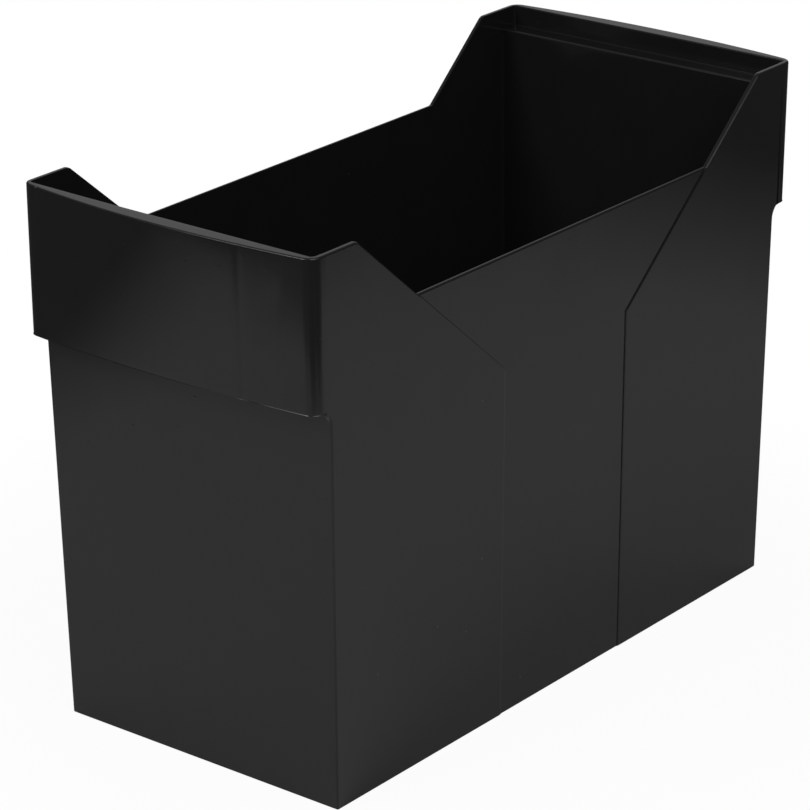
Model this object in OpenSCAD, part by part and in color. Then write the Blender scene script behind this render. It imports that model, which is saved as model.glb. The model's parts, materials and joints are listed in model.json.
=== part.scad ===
// Open tub for hanging files: one thin-walled moulding, shown as its named zones.
// X runs along the tub, Y across it, Z up. The origin is the centre of the base.
// The front end is at -X, and the right-hand long wall is at -Y.

/* [Tub] */
// Outside length of the base
base_l = 327.4; // [280:0.1:380]
// Outside width of the base
base_w = 158.4; // [100:0.1:240]
// Height of the high ends
end_h = 260; // [240:0.5:320]
// Outward lean of the end walls, in degrees
end_lean = 0.92; // [0:0.01:1.5]
// Outward lean of the long walls, in degrees
side_lean = 0.83; // [0:0.01:1.5]
// Thickness of every wall
wall = 2.3; // [1.6:0.1:3.2]
// Thickness of the floor
floor_t = 2.5; // [1.6:0.1:5]
// Outside radius of the upright corners
corner_r = 2; // [0.5:0.1:2.2]

/* [Low-cut sides] */
// Height of the low rim in the middle of a long wall
low_h = 224.5; // [190:0.5:240]
// Length of the low rim
low_l = 216; // [150:1:240]
// Level stretch of high rim along a long wall, from the skirt's corner inwards
high_l = 29; // [22:0.5:45]
// Radius where the high rim turns down into the sloping rim
shoulder_r = 4.5; // [1:0.5:8]

/* [Set-back side panel] */
// Width of the panel where it stands on the table
panel_w = 92; // [60:1:130]
// How far the panel lies behind the rest of the wall at the base
setback_low = 0.2; // [0.1:0.05:0.6]
// How far the panel lies behind the rest of the wall at the low rim
setback_high = 0.6; // [0.3:0.05:1.4]

/* [Hook ledges] */
// Depth of a ledge below the high rim
ledge_drop = 10; // [7:0.5:16]
// Width of a ledge, from its inner edge to the wall behind it
ledge_w = 9.8; // [8:0.1:13]

/* [Grip skirts] */
// Height of a skirt
skirt_h = 70; // [45:1:90]
// Width of the rim at the skirt's corners, in front of the wall behind the ledge
rim_w = 3.1; // [3:0.1:5]
// Bow of the skirt along the rim, beyond its corners
bow_high = 5.2; // [3:0.1:9]
// Bow of the skirt along its lower edge
bow_low = 3.9; // [2:0.1:8]
// How far the skirt draws in towards its lower edge, at the corners
skirt_draw = 1; // [0:0.1:2]
// Outside radius of the skirt's corners
skirt_r = 6; // [4:0.5:7]
// How far the skirt wraps round its corner onto the long wall
skirt_wrap = 8.3; // [8:0.1:11]
// How far the wrapped part stands out from the long wall at its lower edge
skirt_proud = 0.5; // [0:0.05:0.8]
// Radius of the web that carries the long wall out to the skirt
web_r = 7; // [4:0.5:8]

/* [Grip ribs] */
// Clear width between the two ribs inside a skirt
rib_gap = 88.2; // [60:0.1:120]
// Thickness of a rib
rib_t = 1.8; // [1.2:0.1:3]
// Height of a rib's lower end above the skirt's lower edge
rib_rise = 7; // [2:0.5:20]

/* [Hidden] */

// Steps in a small corner arc, and in the long bow of a skirt
corner_steps = 7;
bow_steps = 20;

// Room that a tool shape has beyond the solid it cuts
clear = 1;

// Outer faces of the end walls and of the long walls at height z
function end_x(z) = base_l / 2 + z * tan(end_lean);
function side_y(z) = base_w / 2 + z * tan(side_lean);

// Levels of the ledge, of the skirt's lower edge and of the rim flange's underside
ledge_z = end_h - ledge_drop;
ledge_under_z = ledge_z - wall;
skirt_z = end_h - skirt_h;
flange_z = end_h - wall;

// Places along X: inner edge of the ledge, wall behind it, skirt's corner and wrapped end
ledge_x = end_x(ledge_z) - wall;
pocket_x = ledge_x + ledge_w;
skirt_x = pocket_x + rim_w;
wrap_x = skirt_x - skirt_wrap;

// The sloping rim runs on below the low rim as the panel's step, at the same angle
shoulder_x = skirt_x - high_l;
rim_slope = (end_h - low_h) / (shoulder_x - low_l / 2);
knee_z = low_h - rim_slope * (low_l - panel_w) / 2;

// Points on an arc about [cx, cy]
function arc(cx, cy, r, from, to, steps) =
    [for (i = [0:steps]) let (a = from + (to - from) * i / steps)
        [cx + r * cos(a), cy + r * sin(a)]];

function reversed(list) = [for (i = [len(list) - 1:-1:0]) list[i]];

// A corner rounded to radius r, at point b between points a and c
function rounded(a, b, c, r) =
    let (
        u = (a - b) / norm(a - b),
        v = (c - b) / norm(c - b),
        half = acos(u * v) / 2,
        centre = b + (u + v) / norm(u + v) * r / sin(half),
        out = (b - centre) / norm(b - centre),
        sweep = (180 - 2 * half) * sign(u.y * v.x - u.x * v.y)
    )
    [for (i = [0:corner_steps]) centre + r * turned(out, sweep * (i / corner_steps - 0.5))];

function turned(p, a) = [p.x * cos(a) - p.y * sin(a), p.x * sin(a) + p.y * cos(a)];

// Plan of a skirt's face: wrapped end, corner, long bow, corner, wrapped end
function skirt_face(apex, bow_r, half_w, r, inner_x) =
    let (
        bow_x = apex - bow_r,
        corner_x = bow_x + sqrt(pow(bow_r - r, 2) - pow(half_w - r, 2)),
        a = atan2(half_w - r, corner_x - bow_x)
    )
    concat(
        [[inner_x, -half_w]],
        arc(corner_x, r - half_w, r, -90, -a, corner_steps),
        [for (i = [1:bow_steps - 1]) let (b = a * (2 * i / bow_steps - 1))
            [bow_x + bow_r * cos(b), bow_r * sin(b)]],
        arc(corner_x, half_w - r, r, a, 90, corner_steps),
        [[inner_x, half_w]]
    );

// Radius of a bow that rises by sag over half a chord
function bow_radius(half_chord, sag) = (pow(half_chord, 2) + pow(sag, 2)) / (2 * sag);

// Outer and inner faces of the skirt at its lower edge and at the rim
low_half_w = side_y(skirt_z) + skirt_proud;
high_half_w = side_y(end_h);
low_bow_r = bow_radius(low_half_w, bow_low);
high_bow_r = bow_radius(high_half_w, bow_high);
low_apex = skirt_x - skirt_draw + bow_low;
high_apex = skirt_x + bow_high;

function outer_low(inner_x) = skirt_face(low_apex, low_bow_r, low_half_w, skirt_r, inner_x);
function outer_high(inner_x) = skirt_face(high_apex, high_bow_r, high_half_w, skirt_r, inner_x);
function inner_low(inner_x) =
    skirt_face(low_apex - wall, low_bow_r - wall, side_y(skirt_z) - wall, skirt_r - wall, inner_x);
function inner_high(inner_x) =
    skirt_face(high_apex - wall, high_bow_r - wall, high_half_w - wall, skirt_r - wall, inner_x);

// Solid over the skirt's height between two outlines of as many points, run on by over at both ends
module skirt_loft(low, high, over = 0) {
    n = len(low);
    run_on = over / skirt_h;
    polyhedron(
        points = concat(
            [for (i = [0:n - 1]) let (p = low[i] + (low[i] - high[i]) * run_on)
                [p.x, p.y, skirt_z - over]],
            [for (i = [0:n - 1]) let (p = high[i] + (high[i] - low[i]) * run_on)
                [p.x, p.y, end_h + over]]
        ),
        faces = concat(
            [[for (i = [0:n - 1]) i]],
            [[for (i = [n - 1:-1:0]) n + i]],
            [for (i = [0:n - 1]) let (j = (i + 1) % n) [i, n + i, n + j]],
            [for (i = [0:n - 1]) let (j = (i + 1) % n) [i, n + j, j]]
        )
    );
}

// Outline in the XZ plane, extruded across the tub
module across(width) {
    rotate([90, 0, 0]) linear_extrude(height = width, center = true) children();
}

// Outline in the YZ plane, extruded along the tub
module along(length) {
    rotate([90, 0, 90]) linear_extrude(height = length, center = true) children();
}

overall_l = 2 * high_apex;
overall_w = 2 * max(high_half_w, low_half_w);

// Space between the inner faces of the long walls, up to the rim
module between_long_walls() {
    low = side_y(0) - wall;
    high = side_y(end_h) - wall;
    along(overall_l) polygon([[-low, 0], [low, 0], [high, end_h], [-high, end_h]]);
}

// Space inside a skirt, a little past its lower edge and the rim
module inside_skirt() {
    start_x = ledge_x - wall;
    skirt_loft(inner_low(start_x), inner_high(start_x), clear);
}

// Half of a long wall's outline, from the middle of the base round to the low rim
function long_wall_half() =
    let (
        arc_z = skirt_z - web_r,
        high_end = [wrap_x, end_h],
        shoulder = [shoulder_x, end_h],
        foot = [low_l / 2, low_h]
    )
    concat(
        [[end_x(0), 0]],
        arc(end_x(arc_z) + web_r, arc_z, web_r, 180, 90, corner_steps),
        [[wrap_x, skirt_z], high_end],
        rounded(high_end, shoulder, foot, shoulder_r),
        [foot]
    );

module long_wall_outline() {
    half = long_wall_half();
    polygon(concat(half, [for (p = reversed(half)) [-p.x, p.y]]));
}

// Funnel-shaped panel that lies behind the rest of the wall
module panel_outline() {
    polygon([
        [-panel_w / 2, 0], [panel_w / 2, 0], [panel_w / 2, knee_z],
        [low_l / 2, low_h], [-low_l / 2, low_h], [-panel_w / 2, knee_z]
    ]);
}

// Leaning sheet on the right-hand side, whose outer face is set back at the base and at low_h
module right_sheet(back_low, back_high) {
    lean = (back_high - back_low) / low_h;
    foot_y = back_low - side_y(0);
    head_y = back_low + lean * end_h - side_y(end_h);
    along(overall_l) polygon([
        [foot_y, 0], [wall - side_y(0), 0], [wall - side_y(end_h), end_h], [head_y, end_h]
    ]);
}

// What is cut away outside the rounded upright corner at +X, -Y, up to the web
module corner_waste() {
    run_x = tan(end_lean);
    run_y = tan(side_lean);
    length = end_h / cos(end_lean) / cos(side_lean);
    intersection() {
        translate([base_l / 2, -base_w / 2, 0])
            rotate([atan(run_y), atan(run_x), 0])
                difference() {
                    translate([-corner_r, -clear, -clear])
                        cube([corner_r + clear, corner_r + clear, length]);
                    translate([-corner_r, corner_r, -2 * clear])
                        cylinder(r = corner_r, h = length + 4 * clear, $fn = 48);
                }
        translate([0, -overall_w, 0])
            cube([overall_l, overall_w, skirt_z - web_r]);
    }
}

module right_long_wall_solid() {
    difference() {
        union() {
            intersection() {
                right_sheet(0, 0);
                across(2 * overall_w) difference() {
                    long_wall_outline();
                    panel_outline();
                }
            }
            intersection() {
                right_sheet(setback_low, setback_high);
                across(2 * overall_w) panel_outline();
            }
        }
        corner_waste();
        mirror([1, 0, 0]) corner_waste();
    }
}

// The end pieces below are drawn at +X

module end_wall_solid() {
    intersection() {
        between_long_walls();
        across(overall_w) polygon([
            [end_x(0) - wall, 0], [end_x(0), 0],
            [end_x(ledge_under_z), ledge_under_z], [end_x(ledge_under_z) - wall, ledge_under_z]
        ]);
    }
}

// The ledge that the file hooks rest on, and the low wall behind it up to the rim
module hook_ledge_solid() {
    back_x = pocket_x + wall;
    intersection() {
        inside_skirt();
        across(overall_w) polygon([
            [end_x(ledge_under_z) - wall, ledge_under_z], [back_x, ledge_under_z],
            [back_x, end_h], [pocket_x, end_h],
            [pocket_x, ledge_z], [ledge_x, ledge_z]
        ]);
    }
}

// The bowed band that hangs from the rim, and the flange that joins it to the ledge's back wall
module grip_skirt_solid() {
    difference() {
        skirt_loft(outer_low(wrap_x), outer_high(wrap_x));
        difference() {
            inside_skirt();
            translate([pocket_x + wall, -overall_w / 2, flange_z])
                cube([overall_l / 2, overall_w, wall + 2 * clear]);
        }
    }
}

// Two ribs in the space behind the skirt, from end wall to skirt
module grip_ribs_solid() {
    rib_z = skirt_z + rib_rise;
    back_x = pocket_x + wall;
    intersection() {
        inside_skirt();
        for (side = [-1, 1])
            translate([0, side * (rib_gap + rib_t) / 2, 0])
                across(rib_t) polygon([
                    [end_x(rib_z), rib_z], [overall_l, rib_z],
                    [overall_l, flange_z], [back_x, flange_z],
                    [back_x, ledge_under_z], [end_x(ledge_under_z), ledge_under_z]
                ]);
    }
}

module at_front() { mirror([1, 0, 0]) children(); }
module at_left() { mirror([0, 1, 0]) children(); }

module floor() {
    low_x = end_x(0) - wall;
    high_x = end_x(floor_t) - wall;
    color([0.13, 0.13, 0.13]) intersection() {
        between_long_walls();
        across(overall_w)
            polygon([[-low_x, 0], [low_x, 0], [high_x, floor_t], [-high_x, floor_t]]);
    }
}

module front_end_wall() { color([0.17, 0.17, 0.17]) at_front() end_wall_solid(); }
module rear_end_wall() { color([0.17, 0.17, 0.17]) end_wall_solid(); }
module right_long_wall() { color([0.16, 0.16, 0.16]) right_long_wall_solid(); }
module left_long_wall() { color([0.16, 0.16, 0.16]) at_left() right_long_wall_solid(); }
module front_hook_ledge() { color([0.2, 0.2, 0.2]) at_front() hook_ledge_solid(); }
module rear_hook_ledge() { color([0.2, 0.2, 0.2]) hook_ledge_solid(); }
module front_grip_skirt() { color([0.14, 0.14, 0.14]) at_front() grip_skirt_solid(); }
module rear_grip_skirt() { color([0.14, 0.14, 0.14]) grip_skirt_solid(); }
module front_grip_ribs() { color([0.12, 0.12, 0.12]) at_front() grip_ribs_solid(); }
module rear_grip_ribs() { color([0.12, 0.12, 0.12]) grip_ribs_solid(); }

floor();
front_end_wall();
rear_end_wall();
right_long_wall();
left_long_wall();
front_hook_ledge();
rear_hook_ledge();
front_grip_skirt();
rear_grip_skirt();
front_grip_ribs();
rear_grip_ribs();
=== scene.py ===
"""Open tub for hanging files, moulded in one piece from black plastic."""
import json
from math import atan2, cos, exp, radians, sin, sqrt, tan

import bmesh
import bpy
from mathutils import Matrix, Vector, noise

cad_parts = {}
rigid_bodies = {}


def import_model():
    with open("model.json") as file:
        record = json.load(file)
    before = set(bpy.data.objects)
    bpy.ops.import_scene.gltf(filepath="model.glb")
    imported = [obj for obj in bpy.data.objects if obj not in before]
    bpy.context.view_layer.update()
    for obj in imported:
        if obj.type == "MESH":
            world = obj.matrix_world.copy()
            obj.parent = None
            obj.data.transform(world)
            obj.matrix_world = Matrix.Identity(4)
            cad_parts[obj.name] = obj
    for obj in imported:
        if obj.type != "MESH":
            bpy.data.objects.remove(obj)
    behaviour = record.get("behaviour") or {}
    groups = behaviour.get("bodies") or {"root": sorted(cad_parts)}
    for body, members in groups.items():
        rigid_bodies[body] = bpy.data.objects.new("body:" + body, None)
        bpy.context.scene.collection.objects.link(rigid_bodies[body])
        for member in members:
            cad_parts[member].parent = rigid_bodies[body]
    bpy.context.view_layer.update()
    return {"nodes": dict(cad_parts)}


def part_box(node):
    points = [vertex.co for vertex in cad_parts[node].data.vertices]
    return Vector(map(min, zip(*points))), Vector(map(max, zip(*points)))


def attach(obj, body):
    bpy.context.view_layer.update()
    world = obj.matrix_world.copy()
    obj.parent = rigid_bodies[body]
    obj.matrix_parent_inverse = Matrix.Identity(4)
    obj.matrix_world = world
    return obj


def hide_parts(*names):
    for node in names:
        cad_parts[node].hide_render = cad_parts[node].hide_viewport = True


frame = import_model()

# The camera stands above one corner of the tub. Its place, aim, lens and shift were fitted to the tub's
# edges in the photograph, whose frame is 810 x 810 pixels.
CAMERA_PLACE = (-1.2814, -1.0167, 0.7746)
CAMERA_YAW, CAMERA_PITCH, CAMERA_ROLL = radians(38.99), radians(-21.85), radians(-0.61)
CAMERA_LENS = 167.0
CAMERA_SHIFT = (0.01618, 0.00232)

ahead = Vector((cos(CAMERA_PITCH) * cos(CAMERA_YAW), cos(CAMERA_PITCH) * sin(CAMERA_YAW), sin(CAMERA_PITCH)))
level_right = ahead.cross(Vector((0, 0, 1))).normalized()
level_up = level_right.cross(ahead)
right = level_right * cos(CAMERA_ROLL) + level_up * sin(CAMERA_ROLL)
up = level_up * cos(CAMERA_ROLL) - level_right * sin(CAMERA_ROLL)

camera_data = bpy.data.cameras.new("camera")
camera_data.lens = CAMERA_LENS
camera_data.shift_x, camera_data.shift_y = CAMERA_SHIFT
camera_data.clip_end = 30
camera = bpy.data.objects.new("camera", camera_data)
turn = Matrix((right, up, -ahead)).transposed().to_4x4()
camera.matrix_world = Matrix.Translation(CAMERA_PLACE) @ turn
bpy.context.scene.collection.objects.link(camera)
bpy.context.scene.camera = camera
bpy.context.scene.view_settings.view_transform = "Standard"

# The studio: a white table top, square to the tub, in a dim room. Its near corner is cut off, and its paper
# carries painted shade:
# its colour darkens towards its far edges, where the lamps' light falls off. To the camera the table and the
# room are white, but for a faint shadow.
TABLE_LOW, TABLE_HIGH = (-0.68, -0.55), (0.75, 0.475)
CORNER_CUT, TABLE_DROP = 0.36, 0.0002
PAPER_WHITENESS = 0.92
SHADOW_NEAR, SHADOW_FAR, SHADOW_WHITENESS = 0.2, 0.36, 0.95
CEILING_START, CEILING_FULL = 0.4, 0.6
ROOM_LIGHT, CEILING_LIGHT = 0.08, 0.24


def set_range(node, start, end, low, high):
    """Makes a map range node spread start to end over low to high."""
    for socket, number in zip(("From Min", "From Max", "To Min", "To Max"), (start, end, low, high)):
        node.inputs[socket].default_value = number


# Where the painted shade on the paper starts, in x and in y
LIT_TO = (0.45, 0.3)
bpy.ops.object.select_all(action="DESELECT")
bpy.ops.mesh.primitive_plane_add(size=1)
table = bpy.context.object
table.name = "table_top"
table.location = [(low + high) / 2 for low, high in zip(TABLE_LOW, TABLE_HIGH)] + [-TABLE_DROP]
table.scale = (TABLE_HIGH[0] - TABLE_LOW[0], TABLE_HIGH[1] - TABLE_LOW[1], 1)
bpy.ops.object.transform_apply(location=True, rotation=True, scale=True)
bpy.ops.object.mode_set(mode="EDIT")
bpy.ops.mesh.select_mode(type="VERT")
bpy.ops.mesh.select_all(action="DESELECT")
mesh = bmesh.from_edit_mesh(table.data)
for vertex in mesh.verts:
    vertex.select_set(vertex.co.x < 0 and vertex.co.y < 0)
bmesh.update_edit_mesh(table.data)
bpy.ops.mesh.bevel(offset=CORNER_CUT, segments=1, affect="VERTICES")
bpy.ops.object.mode_set(mode="OBJECT")

paper = bpy.data.materials.new("white_table")
paper.use_nodes = True
nodes, links = paper.node_tree.nodes, paper.node_tree.links
surface = nodes["Principled BSDF"]
surface.inputs["Roughness"].default_value = 0.9
surface.inputs["Specular IOR Level"].default_value = 0.0
spot = nodes.new("ShaderNodeNewGeometry")
across = nodes.new("ShaderNodeSeparateXYZ")
links.new(spot.outputs["Position"], across.inputs[0])
# Painted shade: the paper's colour falls from white to black towards the table's far edges, in place of the
# lamps' light falling off
painted_shade = nodes.new("ShaderNodeMath")
painted_shade.operation = "MULTIPLY"
for axis, (start, end) in enumerate(zip(LIT_TO, TABLE_HIGH)):
    painted_falloff = nodes.new("ShaderNodeMapRange")
    set_range(painted_falloff, start, end, PAPER_WHITENESS, 0)
    links.new(across.outputs[axis], painted_falloff.inputs["Value"])
    links.new(painted_falloff.outputs[0], painted_shade.inputs[axis])
links.new(painted_shade.outputs[0], surface.inputs["Base Color"])
glow = nodes.new("ShaderNodeEmission")
glow.inputs["Strength"].default_value = 1.0
path = nodes.new("ShaderNodeLightPath")
mix = nodes.new("ShaderNodeMixShader")
distance = nodes.new("ShaderNodeVectorMath")
distance.operation = "LENGTH"
links.new(spot.outputs["Position"], distance.inputs[0])
whiteness = nodes.new("ShaderNodeMapRange")
set_range(whiteness, SHADOW_NEAR, SHADOW_FAR, SHADOW_WHITENESS, 1)
links.new(distance.outputs["Value"], whiteness.inputs["Value"])
share = nodes.new("ShaderNodeMath")
share.operation = "MULTIPLY"
links.new(whiteness.outputs[0], share.inputs[1])
links.new(path.outputs["Is Camera Ray"], share.inputs[0])
links.new(share.outputs[0], mix.inputs["Fac"])
links.new(surface.outputs[0], mix.inputs[1])
links.new(glow.outputs[0], mix.inputs[2])
links.new(mix.outputs[0], nodes["Material Output"].inputs["Surface"])
table.data.materials.append(paper)

world = bpy.data.worlds.new("studio")
bpy.context.scene.world = world
world.use_nodes = True
nodes, links = world.node_tree.nodes, world.node_tree.links
room = nodes["Background"]
direction = nodes.new("ShaderNodeTexCoord")
height = nodes.new("ShaderNodeSeparateXYZ")
ceiling = nodes.new("ShaderNodeMapRange")
set_range(ceiling, CEILING_START, CEILING_FULL, ROOM_LIGHT, CEILING_LIGHT)
links.new(direction.outputs["Generated"], height.inputs[0])
links.new(height.outputs["Z"], ceiling.inputs["Value"])
links.new(ceiling.outputs[0], room.inputs["Strength"])
room.inputs["Color"].default_value = (1, 1, 1, 1)
white = nodes.new("ShaderNodeBackground")
white.inputs["Color"].default_value = (1, 1, 1, 1)
white.inputs["Strength"].default_value = 1.0
path = nodes.new("ShaderNodeLightPath")
mix = nodes.new("ShaderNodeMixShader")
links.new(path.outputs["Is Camera Ray"], mix.inputs["Fac"])
links.new(room.outputs[0], mix.inputs[1])
links.new(white.outputs[0], mix.inputs[2])
links.new(mix.outputs[0], nodes["World Output"].inputs["Surface"])


def softbox(name, place, aim, size, watts):
    """A square area lamp at a place, turned to its aim."""
    lamp = bpy.data.lights.new(name, "AREA")
    lamp.size = size
    lamp.energy = watts
    stand = bpy.data.objects.new(name, lamp)
    stand.location = place
    stand.rotation_euler = (Vector(aim) - Vector(place)).to_track_quat("-Z", "Y").to_euler()
    bpy.context.scene.collection.objects.link(stand)
    return stand


softbox("key_softbox", (-1.4, 0.4, 1.2), (0, 0, 0.1), 0.6, 8.0)
softbox("rim_softbox", (-0.75, 0.45, 0.78), (0, 0, 0.2), 0.2, 0.6)
softbox("left_side_softbox", (-0.4, -0.7, 0.9), (0, 0, 0.1), 0.6, 3.3)
softbox("right_side_softbox", (0, -0.9, 0.9), (0, 0, 0.1), 0.6, 0.8)
softbox("back_softbox", (1.3, 1.05, 0.95), (0, 0, 0.25), 1.4, 2.3)

# Black plastic of the whole moulding: nearly black and satin. Its skin is a little wavy and cloudy from the
# mould, and it carries fine upright rub marks, dust and a few specks from handling.
GLOSSY, CLOUDED, RUBBED, DUSTED = 0.13, 0.19, 0.05, 0.5
DUST_RADIUS, DUST_SHARE = 0.0005, 0.14
SPECK_RADIUS, SPECK_SHARE = 0.0006, 0.2
WAVE_HEIGHT, UNEVEN_HEIGHT, GRAIN_HEIGHT, SPECK_HEIGHT = 0.00018, 0.00001, 0.0000012, 0.00008
black_plastic = bpy.data.materials.new("black_plastic")
black_plastic.use_nodes = True
nodes, links = black_plastic.node_tree.nodes, black_plastic.node_tree.links
skin = nodes["Principled BSDF"]
skin.inputs["Specular IOR Level"].default_value = 0.38
place = nodes.new("ShaderNodeTexCoord").outputs["Object"]


def plastic_noise(scale, detail, stretch=(1, 1, 1)):
    """Noise through the plastic, in features per metre, stretched along some axes."""
    mapping = nodes.new("ShaderNodeMapping")
    mapping.inputs["Scale"].default_value = stretch
    texture = nodes.new("ShaderNodeTexNoise")
    texture.inputs["Scale"].default_value = scale
    texture.inputs["Detail"].default_value = detail
    links.new(place, mapping.inputs["Vector"])
    links.new(mapping.outputs[0], texture.inputs["Vector"])
    return texture.outputs["Fac"]


def from_to(value, start, end, low, high):
    """A value's range from start to end, spread over low to high and held there."""
    spread = nodes.new("ShaderNodeMapRange")
    set_range(spread, start, end, low, high)
    links.new(value, spread.inputs["Value"])
    return spread.outputs[0]


def combined(operation, first, second):
    """The sum, product or other combination of two values."""
    step = nodes.new("ShaderNodeMath")
    step.operation = operation
    links.new(first, step.inputs[0])
    links.new(second, step.inputs[1])
    return step.outputs[0]


def specks(scale, radius, share):
    """Small round spots in some cells of a grid of random points: 1 inside a spot, 0 outside."""
    cells = nodes.new("ShaderNodeTexVoronoi")
    cells.inputs["Scale"].default_value = scale
    chance = nodes.new("ShaderNodeSeparateXYZ")
    links.new(place, cells.inputs["Vector"])
    links.new(cells.outputs["Color"], chance.inputs[0])
    spot = from_to(cells.outputs["Distance"], radius * scale, radius * scale / 2, 0, 1)
    return combined("MULTIPLY", spot, from_to(chance.outputs["X"], share, share * 0.9, 0, 1))


def bumped(height, distance, normal=None):
    """The surface's normal with a bump of a height in metres added."""
    bump = nodes.new("ShaderNodeBump")
    bump.inputs["Strength"].default_value = 1.0
    bump.inputs["Distance"].default_value = distance
    links.new(height, bump.inputs["Height"])
    if normal:
        links.new(normal, bump.inputs["Normal"])
    return bump.outputs[0]


clouds = from_to(plastic_noise(22, 3), 0.35, 0.65, GLOSSY, CLOUDED)
rubs = from_to(plastic_noise(420, 2, (1, 1, 0.06)), 0.6, 0.8, 0, RUBBED)
dust = specks(95, DUST_RADIUS, DUST_SHARE)
dull_dust = from_to(dust, 0, 1, 0, DUSTED)
links.new(combined("ADD", combined("ADD", clouds, rubs), dull_dust), skin.inputs["Roughness"])

tint = nodes.new("ShaderNodeMix")
tint.data_type = "RGBA"
tint.inputs["A"].default_value = (0.0098, 0.0098, 0.0098, 1)
tint.inputs["B"].default_value = (0.0128, 0.0128, 0.0128, 1)
links.new(plastic_noise(35, 4), tint.inputs["Factor"])
dusted = nodes.new("ShaderNodeMix")
dusted.data_type = "RGBA"
dusted.inputs["B"].default_value = (0.11, 0.11, 0.105, 1)
links.new(dust, dusted.inputs["Factor"])
links.new(tint.outputs["Result"], dusted.inputs["A"])
links.new(dusted.outputs["Result"], skin.inputs["Base Color"])

wavy = bumped(plastic_noise(18, 2), WAVE_HEIGHT)
uneven = bumped(plastic_noise(260, 2), UNEVEN_HEIGHT, wavy)
grain = bumped(plastic_noise(2600, 2), GRAIN_HEIGHT, uneven)
specked = bumped(specks(120, SPECK_RADIUS, SPECK_SHARE), SPECK_HEIGHT, grain)
links.new(specked, skin.inputs["Normal"])


# Floor: the bottom of the tub, a flat plate that the four walls rise from. Where it meets them, the mould
# leaves a small hollow curve all round.
WALL = 0.0023
END_LEAN, SIDE_LEAN = radians(0.92), radians(0.83)
COVE_RADIUS, COVE_STEPS = 0.0015, 5


def start_piece(name, low, high):
    """A block between two corners as a new object, in edit mode with nothing selected."""
    bpy.ops.object.select_all(action="DESELECT")
    bpy.ops.mesh.primitive_cube_add(size=1, location=(low + high) / 2)
    piece = bpy.context.object
    piece.name = piece.data.name = name
    piece.scale = high - low
    bpy.ops.object.transform_apply(location=True, rotation=True, scale=True)
    bpy.ops.object.mode_set(mode="EDIT")
    bpy.ops.mesh.select_all(action="DESELECT")
    return piece


def select_faces(piece, wanted):
    """Selects, in edit mode, just the faces for which wanted(middle, normal) is true."""
    bpy.ops.mesh.select_mode(type="FACE")
    bpy.ops.mesh.select_all(action="DESELECT")
    mesh = bmesh.from_edit_mesh(piece.data)
    for face in mesh.faces:
        if wanted(face.calc_center_median(), face.normal):
            face.select_set(True)
    bmesh.update_edit_mesh(piece.data)


def select_edges(piece, wanted):
    """Selects, in edit mode, just the sharp edges for which wanted(edge) is true."""
    bpy.ops.mesh.select_mode(type="EDGE")
    bpy.ops.mesh.select_all(action="DESELECT")
    mesh = bmesh.from_edit_mesh(piece.data)
    mesh.normal_update()
    for edge in mesh.edges:
        if edge.calc_face_angle(0) > SHARP and wanted(edge):
            edge.select_set(True)
    bmesh.update_edit_mesh(piece.data)


TINY = 1e-6
SHARP = radians(25)
SMOOTH_ANGLE = radians(35)
FLAT_ANGLE = radians(0.05)


def finish_piece(piece, node):
    """Smooths the rounded edges and puts the piece in its CAD node's place."""
    bpy.ops.object.mode_set(mode="OBJECT")
    bpy.ops.object.select_all(action="DESELECT")
    piece.select_set(True)
    bpy.context.view_layer.objects.active = piece
    bpy.ops.object.shade_smooth_by_angle(angle=SMOOTH_ANGLE)
    modifier = piece.modifiers.new("even_shading", "WEIGHTED_NORMAL")
    modifier.keep_sharp = True
    bpy.ops.object.modifier_apply(modifier=modifier.name)
    piece.data.materials.clear()
    piece.data.materials.append(black_plastic)
    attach(piece, "root")
    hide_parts(node)


low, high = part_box("floor")
tub_floor = start_piece("tub_floor", low, high)
select_faces(tub_floor, lambda middle, normal: normal.z > 0.5)
bpy.ops.transform.translate(value=(0, 0, COVE_RADIUS))
for step in range(COVE_STEPS):
    start, end = (radians(90) * (step + i) / COVE_STEPS for i in (0, 1))
    bpy.ops.mesh.inset(thickness=COVE_RADIUS * (cos(start) - cos(end)),
                       depth=-COVE_RADIUS * (sin(end) - sin(start)))
finish_piece(tub_floor, "floor")


# End walls: flat leaning walls under the hook ledges. Each is drawn in plan with its hollow inner corners,
# and raised.
BASE_EDGE, CORNER_EDGE = 0.0005, 0.0009
POINT_SIZE = 0.001
low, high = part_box("rear_end_wall")
END_HEIGHT = high.z
END_X = high.x - END_HEIGHT * tan(END_LEAN)
HALF_WIDTH = high.y - END_HEIGHT * tan(SIDE_LEAN)


def start_outline(name, point):
    """A new object that holds one vertex, in edit mode."""
    bpy.ops.object.select_all(action="DESELECT")
    bpy.ops.mesh.primitive_plane_add(size=POINT_SIZE)
    piece = bpy.context.object
    piece.name = piece.data.name = name
    bpy.ops.object.mode_set(mode="EDIT")
    bpy.ops.mesh.select_mode(type="VERT")
    bpy.ops.mesh.delete(type="VERT")
    add_point(point)
    return piece


def add_point(point):
    """A loose vertex, in edit mode, that the next part of an outline is drawn from."""
    bpy.ops.mesh.select_mode(type="VERT")
    bpy.ops.mesh.primitive_plane_add(size=POINT_SIZE, location=point)
    bpy.ops.mesh.merge(type="CENTER")


def draw_to(*points):
    """Runs straight edges from the selected vertex through some points."""
    for point in points:
        mesh = bmesh.from_edit_mesh(bpy.context.object.data)
        here = next(vertex.co.copy() for vertex in mesh.verts if vertex.select)
        bpy.ops.mesh.extrude_region_move(TRANSFORM_OT_translate={"value": Vector(point) - here})


def draw_arc(centre, angle, steps):
    """Runs an arc from the selected vertex round a centre, anticlockwise from above."""
    bpy.ops.mesh.spin(steps=steps, angle=-angle, center=centre, axis=(0, 0, 1))


def fill_outline():
    """Closes the outline that was drawn last and fills it."""
    bpy.ops.mesh.select_linked()
    bpy.ops.mesh.remove_doubles(threshold=TINY)
    bpy.ops.mesh.edge_face_add()


def raised(steps):
    """Extrudes the selected faces by a step."""
    bpy.ops.mesh.extrude_region_move(TRANSFORM_OT_translate={"value": steps})


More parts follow.
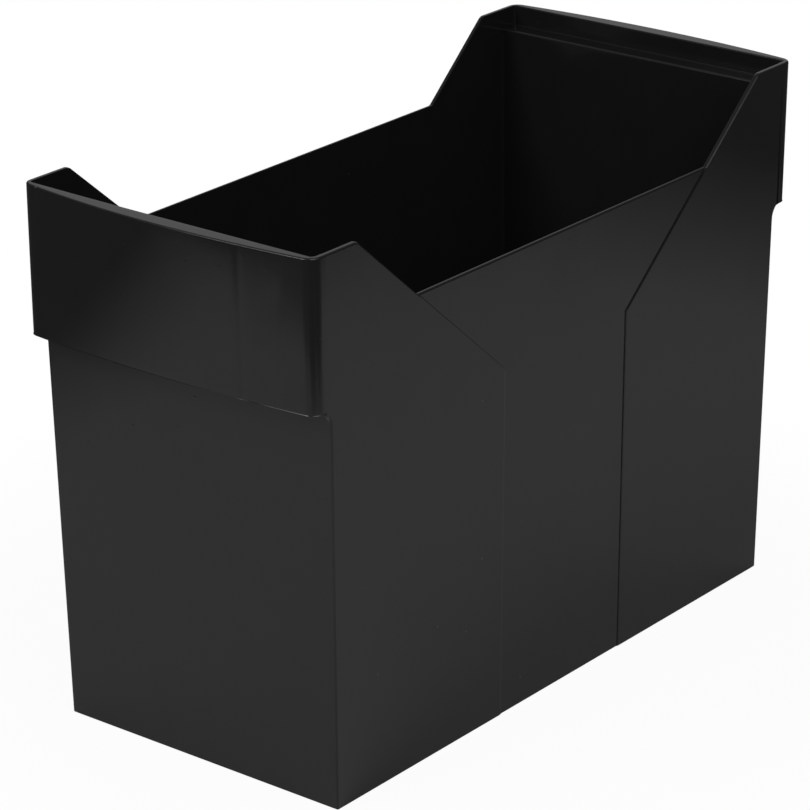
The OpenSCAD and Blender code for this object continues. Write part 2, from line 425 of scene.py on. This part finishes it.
def mirrored(piece, name, scale):
    """A copy on the tub's other side, with its own mesh and its faces turned outwards again."""
    bpy.ops.object.mode_set(mode="OBJECT")
    twin = piece.copy()
    twin.data = piece.data.copy()
    twin.name = twin.data.name = name
    bpy.context.scene.collection.objects.link(twin)
    bpy.ops.object.select_all(action="DESELECT")
    twin.select_set(True)
    bpy.context.view_layer.objects.active = twin
    twin.scale = scale
    bpy.ops.object.transform_apply(location=False, rotation=False, scale=True)
    bpy.ops.object.mode_set(mode="EDIT")
    bpy.ops.mesh.select_all(action="SELECT")
    bpy.ops.mesh.normals_make_consistent(inside=False)
    return twin


inner_x = END_X - WALL
corner_x, corner_y = inner_x - COVE_RADIUS, HALF_WIDTH - COVE_RADIUS
rear_end = start_outline("rear_end", (corner_x, HALF_WIDTH, 0))
draw_arc((corner_x, corner_y, 0), radians(-90), COVE_STEPS)
draw_to((inner_x, -corner_y, 0))
draw_arc((corner_x, -corner_y, 0), radians(-90), COVE_STEPS)
draw_to((END_X, -HALF_WIDTH, 0), (END_X, HALF_WIDTH, 0), (corner_x, HALF_WIDTH, 0))
fill_outline()
bpy.ops.mesh.select_mode(type="FACE")
raised((END_HEIGHT * tan(END_LEAN), 0, END_HEIGHT))
bpy.ops.transform.resize(value=(1, high.y / HALF_WIDTH, 1), center_override=(0, 0, END_HEIGHT))
bpy.ops.mesh.select_all(action="SELECT")
bpy.ops.mesh.normals_make_consistent(inside=False)
select_edges(rear_end, lambda edge: all(end.co.z < TINY and end.co.x > END_X - TINY for end in edge.verts))
bpy.ops.mesh.bevel(offset=BASE_EDGE, segments=4)
front_end = mirrored(rear_end, "front_end", (-1, 1, 1))

# Two fine grooves run up from the front one's base, where the mould has an insert
GROOVES, GROOVE_TOP = (0.019, -0.022), 0.054
GROOVE_DEPTH, GROOVE_HALF = 0.00026, 0.0005
GROOVE_FULL = 0.9 * GROOVE_TOP
for groove in GROOVES:
    for cut in (groove - GROOVE_HALF, groove, groove + GROOVE_HALF):
        bpy.ops.mesh.select_all(action="SELECT")
        bpy.ops.mesh.bisect(plane_co=(0, cut, 0), plane_no=(0, 1, 0))
for level in (GROOVE_TOP, GROOVE_FULL):
    bpy.ops.mesh.select_all(action="SELECT")
    bpy.ops.mesh.bisect(plane_co=(0, 0, level), plane_no=(0, 0, 1))
mesh = bmesh.from_edit_mesh(front_end.data)
for vertex in mesh.verts:
    outside = vertex.co.x < -END_X + TINY - vertex.co.z * tan(END_LEAN)
    if outside and vertex.co.z < GROOVE_TOP - TINY:
        if min(abs(vertex.co.y - groove) for groove in GROOVES) < TINY:
            vertex.co.x += GROOVE_DEPTH
bmesh.update_edit_mesh(front_end.data)
finish_piece(rear_end, "rear_end_wall")
finish_piece(front_end, "front_end_wall")


# Long walls: leaning sheets whose rim drops from the high ends to a low middle. Outside, a funnel-shaped
# panel lies a little behind the rest, and at both ends a web carries the sheet out to the grip.
PANEL_HALF_WIDTH, KNEE_HEIGHT = 0.046, 0.1712
LOW_RIM_HALF, LOW_RIM_HEIGHT = 0.108, 0.2245
SHOULDER_X, SHOULDER_RADIUS = 0.1493, 0.0045
SETBACK_LOW, SETBACK_HIGH = 0.00045, 0.0007
STEP_WIDTH = 0.0001
SHOULDER_WIDTH, SHOULDER_DROP = 0.001, 0.00016
RIM_ROUND, RIM_EDGE, WEB_TIP = 0.001, 0.0003, 0.0005
low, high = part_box("rear_grip_skirt")
WRAP_X, GRIP_FOOT, RIM_HEIGHT = low.x, low.z, high.z
GRIP_HEIGHT = RIM_HEIGHT - GRIP_FOOT
BASE_HALF_WIDTH = HALF_WIDTH + WALL


def round_corner(piece, corner, radius, turn):
    """Rounds one corner of an outline that turns by an angle there."""
    bpy.ops.mesh.select_mode(type="VERT")
    bpy.ops.mesh.select_all(action="DESELECT")
    mesh = bmesh.from_edit_mesh(piece.data)
    for vertex in mesh.verts:
        if (vertex.co - Vector(corner)).length < TINY:
            vertex.select_set(True)
    bmesh.update_edit_mesh(piece.data)
    bpy.ops.mesh.bevel(offset=radius * tan(turn / 2), segments=8, affect="VERTICES")


def upright(x, z):
    """A point of the wall's outline before the wall leans."""
    return (x, -BASE_HALF_WIDTH, z)


foot = upright(LOW_RIM_HALF, LOW_RIM_HEIGHT)
shoulder = upright(SHOULDER_X, RIM_HEIGHT)
web_corner = upright(END_X + GRIP_FOOT * tan(END_LEAN), GRIP_FOOT)
web_tip = upright(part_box("right_long_wall")[1].x, GRIP_FOOT)

right_side = start_outline("right_side", upright(0, 0))
draw_to(upright(END_X, 0), web_corner, web_tip, upright(WRAP_X, GRIP_FOOT), upright(WRAP_X, RIM_HEIGHT),
        shoulder, foot, upright(0, LOW_RIM_HEIGHT), upright(0, 0))
fill_outline()
round_corner(right_side, web_corner, web_tip[0] - web_corner[0], radians(90))
slope = atan2(RIM_HEIGHT - LOW_RIM_HEIGHT, SHOULDER_X - LOW_RIM_HALF)
round_corner(right_side, shoulder, SHOULDER_RADIUS, slope)
bpy.ops.mesh.select_mode(type="FACE")
bpy.ops.mesh.select_all(action="SELECT")
raised((0, WALL, 0))
bpy.ops.mesh.select_all(action="SELECT")
bpy.ops.mesh.normals_make_consistent(inside=False)
select_faces(right_side, lambda middle, normal: middle.x < TINY)
bpy.ops.mesh.delete(type="FACE")
bpy.ops.object.mode_set(mode="OBJECT")
modifier = right_side.modifiers.new("other_half", "MIRROR")
modifier.merge_threshold = TINY
bpy.ops.object.modifier_apply(modifier=modifier.name)
bpy.ops.object.mode_set(mode="EDIT")
bpy.ops.mesh.select_all(action="SELECT")
bpy.ops.mesh.dissolve_limited(angle_limit=FLAT_ANGLE)
bpy.ops.mesh.normals_make_consistent(inside=False)
outer_y = -BASE_HALF_WIDTH


def on_outer_face(edge):
    """Whether an edge lies on the wall's outer face."""
    return all(abs(end.co.y - outer_y) < TINY for end in edge.verts)


def on_corner(edge):
    """The upright corners and the webs' edges, up to just below the grips."""
    return min(abs(end.co.x) for end in edge.verts) > END_X - TINY and on_outer_face(edge) \
        and TINY < max(end.co.z for end in edge.verts) < GRIP_FOOT - WEB_TIP


def on_base(edge):
    """The base edge, round the outside and both ends."""
    outside = max(end.co.y for end in edge.verts) < outer_y + WALL - TINY
    return max(end.co.z for end in edge.verts) < TINY \
        and (outside or min(abs(end.co.x) for end in edge.verts) > END_X - TINY)


def on_rim(edge):
    """The outer and inner edges of the rim, from one grip to the other."""
    normals = [face.normal for face in edge.link_faces]
    return max(normal.z for normal in normals) > 0.5 and max(abs(normal.y) for normal in normals) > 0.9 \
        and min(end.co.z for end in edge.verts) > GRIP_FOOT + TINY


select_edges(right_side, on_corner)
bpy.ops.mesh.bevel(offset=CORNER_EDGE, segments=4)
select_edges(right_side, on_base)
bpy.ops.mesh.bevel(offset=BASE_EDGE, segments=4)
select_edges(right_side, lambda edge: on_rim(edge) and edge.verts[0].co.y < outer_y + WALL / 2)
bpy.ops.mesh.bevel(offset=RIM_ROUND, segments=5)
select_edges(right_side, lambda edge: on_rim(edge) and edge.verts[0].co.y > outer_y + WALL - TINY)
bpy.ops.mesh.bevel(offset=RIM_EDGE, segments=2)

# The panel's outline is cut in for a soft shoulder and the step, and the part inside it goes back
slope_run, slope_rise = LOW_RIM_HALF - PANEL_HALF_WIDTH, LOW_RIM_HEIGHT - KNEE_HEIGHT
for side in (-1, 1):
    for half_width in (PANEL_HALF_WIDTH + SHOULDER_WIDTH, PANEL_HALF_WIDTH, PANEL_HALF_WIDTH - STEP_WIDTH):
        for direction in ((1, 0, 0), (slope_rise, 0, -side * slope_run)):
            bpy.ops.mesh.select_all(action="SELECT")
            bpy.ops.mesh.bisect(plane_co=(side * half_width, 0, KNEE_HEIGHT), plane_no=direction,
                                threshold=TINY)
mesh = bmesh.from_edit_mesh(right_side.data)
for vertex in mesh.verts:
    half_width = PANEL_HALF_WIDTH + max(vertex.co.z - KNEE_HEIGHT, 0) * slope_run / slope_rise
    inside = min(max((half_width - abs(vertex.co.x)) / STEP_WIDTH, 0), 1)
    on_shoulder = min(max((half_width - abs(vertex.co.x)) / SHOULDER_WIDTH + 1, 0), 1)
    if vertex.co.y < outer_y + WALL / 2:
        setback = SETBACK_LOW + (SETBACK_HIGH - SETBACK_LOW) * vertex.co.z / LOW_RIM_HEIGHT
        vertex.co.y += on_shoulder * SHOULDER_DROP + inside * (setback - SHOULDER_DROP)
for vertex in mesh.verts:
    vertex.co.y -= vertex.co.z * tan(SIDE_LEAN)
bmesh.update_edit_mesh(right_side.data)
left_side = mirrored(right_side, "left_side", (1, -1, 1))
finish_piece(right_side, "right_long_wall")
finish_piece(left_side, "left_long_wall")


# Grips: the bowed bands that hang from the rim at both ends, open below, for the fingers. A flange under
# the rim joins each to the hook ledge's back wall. The mould's parting left a thin lip round their foot.
BOW_LOW, BOW_HIGH = 0.0039, 0.0052
GRIP_DRAW, GRIP_CORNER, GRIP_PROUD = 0.001, 0.006, 0.0005
CORNER_STEPS, BOW_STEPS = 10, 120
LIP_REACH, LIP_HEIGHT, LIP_WEAR, LIP_WORN = 0.00014, 0.00023, 80, 0.1
FOOT_EDGE = 0.0002
RIB_THICKNESS = 0.0018
low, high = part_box("rear_grip_skirt")
GRIP_X = high.x - BOW_HIGH
BACK_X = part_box("rear_hook_ledge")[1].x


def draw_grip_outline(corner, bow, half_width, level):
    """Draws a grip in plan: wrapped end, corner, long bow, corner, wrapped end."""
    bow_radius = (half_width ** 2 + bow ** 2) / (2 * bow)
    bow_x = corner + bow - bow_radius
    centre_y = half_width - GRIP_CORNER
    centre_x = bow_x + sqrt((bow_radius - GRIP_CORNER) ** 2 - centre_y ** 2)
    turn = atan2(centre_y, centre_x - bow_x)
    add_point((WRAP_X, -half_width, level))
    draw_to((centre_x, -half_width, level))
    draw_arc((centre_x, -centre_y, level), radians(90) - turn, CORNER_STEPS)
    draw_arc((bow_x, 0, level), 2 * turn, BOW_STEPS)
    draw_arc((centre_x, centre_y, level), radians(90) - turn, CORNER_STEPS)
    draw_to((WRAP_X, half_width, level))


low_half_width = BASE_HALF_WIDTH + GRIP_FOOT * tan(SIDE_LEAN) + GRIP_PROUD
rear_grip = start_outline("rear_grip", (0, 0, 0))
bpy.ops.mesh.delete(type="VERT")
draw_grip_outline(GRIP_X - GRIP_DRAW, BOW_LOW, low_half_width, GRIP_FOOT)
draw_grip_outline(GRIP_X, BOW_HIGH, high.y, RIM_HEIGHT)
bpy.ops.mesh.select_all(action="SELECT")
bpy.ops.mesh.bridge_edge_loops()
bpy.ops.mesh.select_all(action="SELECT")
bpy.ops.mesh.normals_make_consistent(inside=False)
bpy.ops.object.mode_set(mode="OBJECT")
modifier = rear_grip.modifiers.new("band", "SOLIDIFY")
modifier.thickness = WALL
modifier.offset = -1
modifier.use_even_offset = True
bpy.ops.object.modifier_apply(modifier=modifier.name)

# Its top and bottom are cut level
bpy.ops.object.mode_set(mode="EDIT")
for level in (GRIP_FOOT, RIM_HEIGHT):
    bpy.ops.mesh.select_mode(type="VERT")
    bpy.ops.mesh.select_all(action="DESELECT")
    mesh = bmesh.from_edit_mesh(rear_grip.data)
    for vertex in mesh.verts:
        vertex.select_set(abs(vertex.co.z - level) < WALL)
    bpy.ops.transform.resize(value=(1, 1, 0), center_override=(0, 0, level))
bpy.ops.object.mode_set(mode="OBJECT")

flange = start_outline("flange", (0, 0, 0))
bpy.ops.mesh.delete(type="VERT")
draw_grip_outline(GRIP_X - WALL / 2, BOW_HIGH, high.y - WALL / 2, RIM_HEIGHT - WALL)
bpy.ops.mesh.select_all(action="SELECT")
bpy.ops.mesh.edge_face_add()
bpy.ops.mesh.select_all(action="SELECT")
bpy.ops.mesh.bisect(plane_co=(BACK_X, 0, 0), plane_no=(1, 0, 0), clear_inner=True)
bpy.ops.mesh.select_all(action="SELECT")
bpy.ops.mesh.select_mode(type="FACE")
raised((0, 0, WALL))
bpy.ops.mesh.select_all(action="SELECT")
bpy.ops.mesh.normals_make_consistent(inside=False)
bpy.ops.object.mode_set(mode="OBJECT")

bpy.ops.object.select_all(action="DESELECT")
rear_grip.select_set(True)
bpy.context.view_layer.objects.active = rear_grip
modifier = rear_grip.modifiers.new("flange", "BOOLEAN")
modifier.operation = "UNION"
modifier.object = flange
bpy.ops.object.modifier_apply(modifier=modifier.name)
bpy.data.objects.remove(flange)
bpy.ops.object.mode_set(mode="EDIT")
bpy.ops.mesh.select_all(action="SELECT")
bpy.ops.mesh.remove_doubles(threshold=TINY)
bpy.ops.mesh.dissolve_limited(angle_limit=FLAT_ANGLE)


def on_grip_edge(edge):
    """The grip's own edges, apart from those where it runs on into the walls and the ledge."""
    for seam in (WRAP_X, BACK_X):
        if all(abs(end.co.x - seam) < TINY for end in edge.verts):
            return False
    return True


def looks_out(face):
    """Whether a face is upright and looks away from the tub."""
    middle = face.calc_center_median()
    return abs(face.normal.z) < 0.5 and face.normal.x * (middle.x - WRAP_X) + face.normal.y * middle.y > 0


def on_grip_rim(edge):
    """The outer edge of the grip's top."""
    return on_grip_edge(edge) and min(end.co.z for end in edge.verts) > RIM_HEIGHT - TINY \
        and any(looks_out(face) for face in edge.link_faces)


select_edges(rear_grip, on_grip_rim)
bpy.ops.mesh.bevel(offset=RIM_ROUND, segments=5, clamp_overlap=True)
select_edges(rear_grip, lambda edge: on_grip_edge(edge)
             and max(end.co.z for end in edge.verts) < RIM_HEIGHT - WALL)
bpy.ops.mesh.bevel(offset=FOOT_EDGE, segments=3, clamp_overlap=True)
bpy.ops.object.mode_set(mode="OBJECT")

lip = start_outline("lip", (0, 0, 0))
bpy.ops.mesh.delete(type="VERT")
foot_corner = GRIP_X - GRIP_DRAW
draw_grip_outline(foot_corner + LIP_REACH, BOW_LOW, low_half_width + LIP_REACH, GRIP_FOOT)
draw_grip_outline(foot_corner, BOW_LOW, low_half_width, GRIP_FOOT + LIP_HEIGHT)
draw_grip_outline(foot_corner - LIP_REACH, BOW_LOW, low_half_width - LIP_REACH, GRIP_FOOT)
bpy.ops.mesh.select_all(action="SELECT")
bpy.ops.mesh.bridge_edge_loops(type="CLOSED")
bpy.ops.mesh.select_all(action="SELECT")
bpy.ops.mesh.fill_holes(sides=3)
bpy.ops.mesh.normals_make_consistent(inside=False)
mesh = bmesh.from_edit_mesh(lip.data)
for vertex in mesh.verts:
    vertex.co.z += LIP_HEIGHT * max(noise.noise(vertex.co * LIP_WEAR) - LIP_WORN, 0)
bmesh.update_edit_mesh(lip.data)
bpy.ops.object.mode_set(mode="OBJECT")
rear_grip.select_set(True)
bpy.context.view_layer.objects.active = rear_grip
bpy.ops.object.join()
front_grip = mirrored(rear_grip, "front_grip", (-1, 1, 1))

# The front one has sunk in a little outside its near rib, sways beside it, and its far end leans in
SINK_DEPTH, SINK_WIDTH = 0.00015, 0.0014
SWAY, SWAY_START = 0.0003, 0.02
SWAY_CUTS = 13
LEAN_IN, LEAN_CUTS = 0.0016, 9


def lean_in(piece):
    """Leans a front piece's far end inwards, more towards the rim and the corner."""
    for cut in range(LEAN_CUTS):
        bpy.ops.mesh.select_all(action="SELECT")
        bpy.ops.mesh.bisect(plane_co=(0, HALF_WIDTH * cut / LEAN_CUTS, 0), plane_no=(0, 1, 0))
    mesh = bmesh.from_edit_mesh(piece.data)
    for vertex in mesh.verts:
        share = min(max((-vertex.co.x - WRAP_X) / (GRIP_X - WRAP_X), 0), 1)
        rise = (vertex.co.z - GRIP_FOOT) / GRIP_HEIGHT
        vertex.co.x += LEAN_IN * rise * share * (max(vertex.co.y, 0) / HALF_WIDTH) ** 2
    bmesh.update_edit_mesh(piece.data)


rib_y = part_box("front_grip_ribs")[0].y + RIB_THICKNESS / 2
bpy.ops.mesh.select_mode(type="EDGE")
bpy.ops.mesh.select_all(action="DESELECT")
mesh = bmesh.from_edit_mesh(front_grip.data)
for edge in mesh.edges:
    edge.select_set(abs(edge.verts[0].co.z - edge.verts[1].co.z) > GRIP_HEIGHT / 2)
bmesh.update_edit_mesh(front_grip.data)
bpy.ops.mesh.subdivide(number_cuts=SWAY_CUTS)
mesh = bmesh.from_edit_mesh(front_grip.data)
for vertex in mesh.verts:
    if vertex.co.x < -BACK_X - WALL:
        beside = rib_y - vertex.co.y
        vertex.co.x += SINK_DEPTH * exp(-(beside / SINK_WIDTH) ** 2)
        side = min(max(beside / SWAY_START, 0), 1) * min(max((vertex.co.y + high.y) / SWAY_START, 0), 1)
        below_rim = min((RIM_HEIGHT - vertex.co.z) / GRIP_HEIGHT * 2, 1)
        vertex.co.x += SWAY * side * (1 - cos(radians(180) * below_rim)) / 2
bmesh.update_edit_mesh(front_grip.data)
lean_in(front_grip)
finish_piece(rear_grip, "rear_grip_skirt")
finish_piece(front_grip, "front_grip_skirt")


# Hook ledges: the steps inside the high ends that the file hooks rest on, with a low back wall each.
def copied(node, name):
    """A copy of a CAD node's solid, with its doubles merged and its flat faces joined, in edit mode."""
    piece = bpy.data.objects.new(name, frame["nodes"][node].data.copy())
    bpy.context.scene.collection.objects.link(piece)
    bpy.ops.object.select_all(action="DESELECT")
    piece.select_set(True)
    bpy.context.view_layer.objects.active = piece
    bpy.ops.mesh.customdata_custom_splitnormals_clear()
    bpy.ops.object.mode_set(mode="EDIT")
    bpy.ops.mesh.select_all(action="SELECT")
    bpy.ops.mesh.remove_doubles(threshold=TINY)
    bpy.ops.mesh.dissolve_limited(angle_limit=FLAT_ANGLE)
    return piece


LEDGE_EDGE = 0.0009
LEDGE_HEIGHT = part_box("rear_hook_ledge")[0].z + WALL
rear_ledge = copied("rear_hook_ledge", "rear_ledge")


def along_ledge(edge):
    """The long edges of the ledge and of its back wall, apart from the seam with the flange."""
    first, last = (end.co for end in edge.verts)
    return abs((last - first).normalized().y) > 0.99 and min(first.z, last.z) > LEDGE_HEIGHT - TINY \
        and max(first.x, last.x) < BACK_X - WALL / 2


select_edges(rear_ledge, along_ledge)
bpy.ops.mesh.bevel(offset=LEDGE_EDGE, segments=4)
front_ledge = mirrored(rear_ledge, "front_ledge", (-1, 1, 1))
lean_in(front_ledge)
finish_piece(rear_ledge, "rear_hook_ledge")
finish_piece(front_ledge, "front_hook_ledge")


# Grip ribs: two thin plates behind each grip that stiffen it.
rear_ribs = copied("rear_grip_ribs", "rear_ribs")
front_ribs = mirrored(rear_ribs, "front_ribs", (-1, 1, 1))
finish_piece(rear_ribs, "rear_grip_ribs")
finish_piece(front_ribs, "front_grip_ribs")
